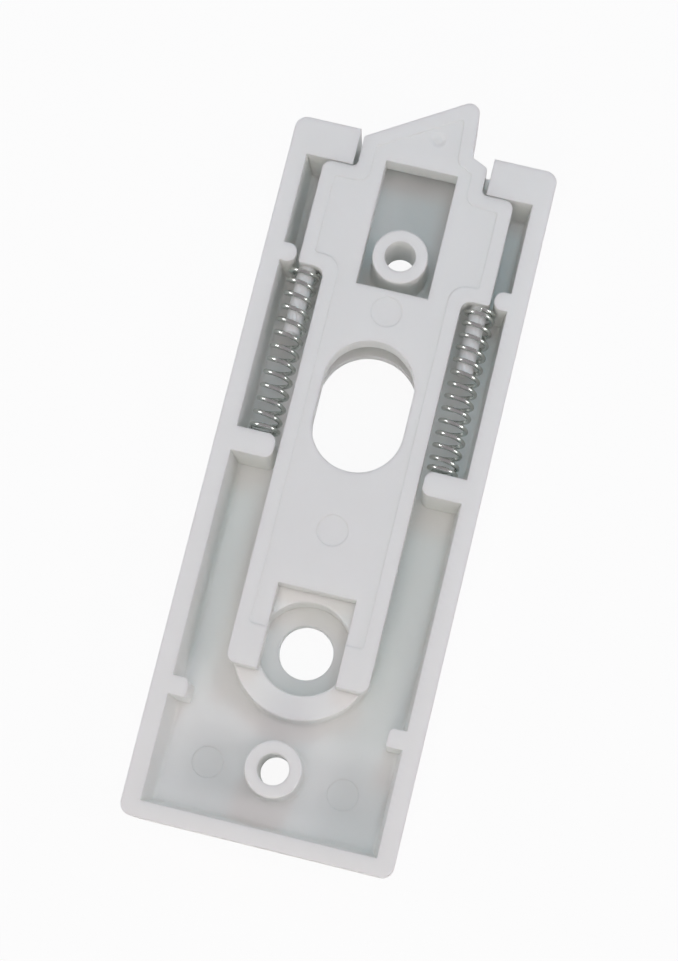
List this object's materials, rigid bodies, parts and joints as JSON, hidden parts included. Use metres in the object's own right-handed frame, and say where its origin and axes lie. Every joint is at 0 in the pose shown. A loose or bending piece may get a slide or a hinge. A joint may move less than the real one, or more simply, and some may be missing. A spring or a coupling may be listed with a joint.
{
  "type": "window tilt latch",
  "caption": "Surface-mount tilt latch for a sliding sash: a shallow moulded housing, open at the back, with a slanted-nose bolt that slides under spring load.",
  "frame": {"origin": "midway between the two screw holes, on the plane of the rim that lies on the sash", "axes": "+Y towards the nose of the bolt, +Z out of the open back towards the sash, +X towards the pointed side of the nose"},
  "size_m": [0.0286, 0.0817, 0.0091],
  "materials": {
    "white_plastic": "fine satin as moulded",
    "spring_wire": "bright drawn wire"
  },
  "bodies": {
    "case": {"housing": "white_plastic", "spring_left": "spring_wire", "spring_right": "spring_wire"},
    "bolt": {"latch_bolt": "white_plastic"}
  },
  "joints": [
    {"name": "bolt_slide", "type": "slide", "parent": "case", "child": "bolt", "axis": [0, -1, 0], "range_m": [0, 0.0056], "stiffness_N_per_m": 4200, "springref_m": -0.001, "deforming": ["spring_left", "spring_right"]}
  ]
}
